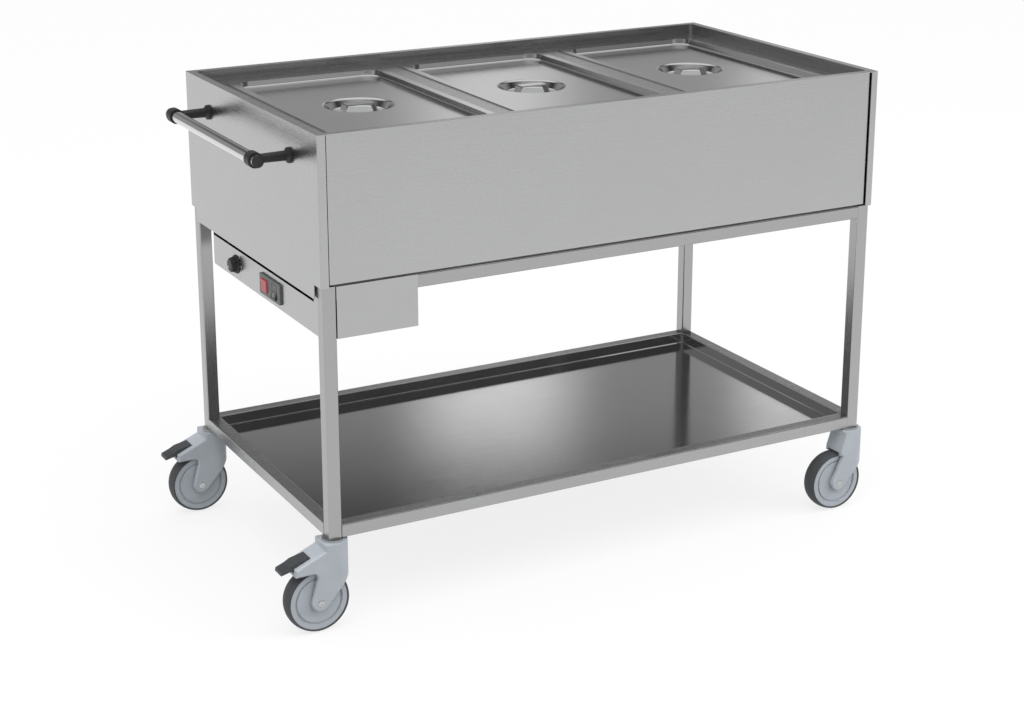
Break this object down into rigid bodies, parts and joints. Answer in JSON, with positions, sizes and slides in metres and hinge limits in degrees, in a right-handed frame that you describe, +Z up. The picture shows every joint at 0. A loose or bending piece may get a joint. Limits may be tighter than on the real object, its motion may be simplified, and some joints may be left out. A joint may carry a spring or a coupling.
{
  "type": "bain marie trolley",
  "caption": "Heated bain marie trolley: steel water tank casing with lidded food pans, push bar, control box, tray shelf and swivel casters with brakes.",
  "frame": {"origin": "on the floor, in the middle of the trolley's outline seen from above, casters trailing to -X", "axes": "+X along the casing away from the push handle, -Y the front long side, +Z up"},
  "size_m": [1.268, 0.659, 0.9],
  "materials": {
    "stainless_sheet": "brushed",
    "stainless_tube": "satin",
    "pan_steel": "bright rolled",
    "mineral_wool": "fibre board",
    "element_sheath": "oxidised",
    "valve_brass": "nickel plated",
    "zinc_steel": "zinc plated",
    "black_plastic": "fine grain",
    "black_gloss": "gloss",
    "dark_plastic": "moulded",
    "grey_plastic": "moulded",
    "red_plastic": "dipped",
    "red_lens": "clear tint",
    "tread_rubber": "grey rubber"
  },
  "bodies": {
    "trolley": {"leg_front_left": "stainless_tube", "leg_front_right": "stainless_tube", "leg_back_left": "stainless_tube", "leg_back_right": "stainless_tube", "upper_frame": "stainless_tube", "shelf_frame": "stainless_tube", "shelf_tray": "stainless_sheet", "end_panel_left": "stainless_sheet", "end_panel_right": "stainless_sheet", "front_panel": "stainless_sheet", "back_panel": "stainless_sheet", "top_deck": "stainless_sheet", "base_pan": "stainless_sheet", "water_tank": "stainless_sheet", "cross_bars": "stainless_sheet", "heating_element": "element_sheath", "insulation_slab": "mineral_wool", "drain_pipe": "stainless_tube", "drain_valve": "valve_brass", "control_box": "stainless_sheet", "thermostat_body": "black_plastic", "switch_bezel": "black_plastic", "pilot_lens": "red_lens", "cable_gland": "black_plastic", "handle_bar": "stainless_tube", "handle_brackets": "black_plastic", "handle_end_plugs": "black_plastic", "caster_stems": "zinc_steel"},
    "pan_left": {"pan_left": "pan_steel"},
    "lid_left": {"lid_left": "pan_steel", "lid_handle_left": "pan_steel"},
    "pan_middle": {"pan_middle": "pan_steel"},
    "lid_middle": {"lid_middle": "pan_steel", "lid_handle_middle": "pan_steel"},
    "pan_right": {"pan_right": "pan_steel"},
    "lid_right": {"lid_right": "pan_steel", "lid_handle_right": "pan_steel"},
    "knob": {"thermostat_knob": "black_plastic", "thermostat_spindle": "stainless_tube"},
    "rocker": {"switch_rocker": "black_gloss"},
    "drain_lever": {"drain_lever": "red_plastic"},
    "caster_front_left": {"caster_fork_front_left": "grey_plastic", "caster_axle_front_left": "zinc_steel"},
    "wheel_front_left": {"wheel_core_front_left": "grey_plastic", "tyre_front_left": "tread_rubber"},
    "pedal_front_left": {"brake_pedal_front_left": "dark_plastic"},
    "caster_front_right": {"caster_fork_front_right": "grey_plastic", "caster_axle_front_right": "zinc_steel"},
    "wheel_front_right": {"wheel_core_front_right": "grey_plastic", "tyre_front_right": "tread_rubber"},
    "caster_back_left": {"caster_fork_back_left": "grey_plastic", "caster_axle_back_left": "zinc_steel"},
    "wheel_back_left": {"wheel_core_back_left": "grey_plastic", "tyre_back_left": "tread_rubber"},
    "pedal_back_left": {"brake_pedal_back_left": "dark_plastic"},
    "caster_back_right": {"caster_fork_back_right": "grey_plastic", "caster_axle_back_right": "zinc_steel"},
    "wheel_back_right": {"wheel_core_back_right": "grey_plastic", "tyre_back_right": "tread_rubber"}
  },
  "joints": [
    {"name": "pan_left_lift", "type": "slide", "parent": "trolley", "child": "pan_left", "axis": [0, 0, 1], "range_m": [0, 0.35]},
    {"name": "lid_left_lift", "type": "slide", "parent": "pan_left", "child": "lid_left", "axis": [0, 0, 1], "range_m": [0, 0.3]},
    {"name": "pan_middle_lift", "type": "slide", "parent": "trolley", "child": "pan_middle", "axis": [0, 0, 1], "range_m": [0, 0.35]},
    {"name": "lid_middle_lift", "type": "slide", "parent": "pan_middle", "child": "lid_middle", "axis": [0, 0, 1], "range_m": [0, 0.3]},
    {"name": "pan_right_lift", "type": "slide", "parent": "trolley", "child": "pan_right", "axis": [0, 0, 1], "range_m": [0, 0.35]},
    {"name": "lid_right_lift", "type": "slide", "parent": "pan_right", "child": "lid_right", "axis": [0, 0, 1], "range_m": [0, 0.3]},
    {"name": "thermostat_turn", "type": "hinge", "parent": "trolley", "child": "knob", "pos_m": [-0.5385, 0.099, 0.569], "axis": [1, 0, 0], "range_deg": [0, 270]},
    {"name": "switch_rock", "type": "hinge", "parent": "trolley", "child": "rocker", "pos_m": [-0.5385, -0.099, 0.569], "axis": [0, -1, 0], "range_deg": [0, 16]},
    {"name": "drain_lever_turn", "type": "hinge", "parent": "trolley", "child": "drain_lever", "pos_m": [0.4005, 0.1415, 0.567], "axis": [0, 1, 0], "range_deg": [0, 90]},
    {"name": "swivel_front_left", "type": "hinge", "parent": "trolley", "child": "caster_front_left", "pos_m": [-0.528, -0.3035, 0.15], "axis": [0, 0, 1], "continuous": true},
    {"name": "wheel_front_left_spin", "type": "hinge", "parent": "caster_front_left", "child": "wheel_front_left", "pos_m": [-0.564, -0.3035, 0.06], "axis": [0, 1, 0], "continuous": true},
    {"name": "brake_front_left_press", "type": "hinge", "parent": "caster_front_left", "child": "pedal_front_left", "pos_m": [-0.592, -0.3035, 0.132], "axis": [0, -1, 0], "range_deg": [0, 10]},
    {"name": "swivel_front_right", "type": "hinge", "parent": "trolley", "child": "caster_front_right", "pos_m": [0.609, -0.3035, 0.15], "axis": [0, 0, 1], "continuous": true},
    {"name": "wheel_front_right_spin", "type": "hinge", "parent": "caster_front_right", "child": "wheel_front_right", "pos_m": [0.573, -0.3035, 0.06], "axis": [0, 1, 0], "continuous": true},
    {"name": "swivel_back_left", "type": "hinge", "parent": "trolley", "child": "caster_back_left", "pos_m": [-0.528, 0.3035, 0.15], "axis": [0, 0, 1], "continuous": true},
    {"name": "wheel_back_left_spin", "type": "hinge", "parent": "caster_back_left", "child": "wheel_back_left", "pos_m": [-0.564, 0.3035, 0.06], "axis": [0, 1, 0], "continuous": true},
    {"name": "brake_back_left_press", "type": "hinge", "parent": "caster_back_left", "child": "pedal_back_left", "pos_m": [-0.592, 0.3035, 0.132], "axis": [0, -1, 0], "range_deg": [0, 10]},
    {"name": "swivel_back_right", "type": "hinge", "parent": "trolley", "child": "caster_back_right", "pos_m": [0.609, 0.3035, 0.15], "axis": [0, 0, 1], "continuous": true},
    {"name": "wheel_back_right_spin", "type": "hinge", "parent": "caster_back_right", "child": "wheel_back_right", "pos_m": [0.573, 0.3035, 0.06], "axis": [0, 1, 0], "continuous": true}
  ]
}
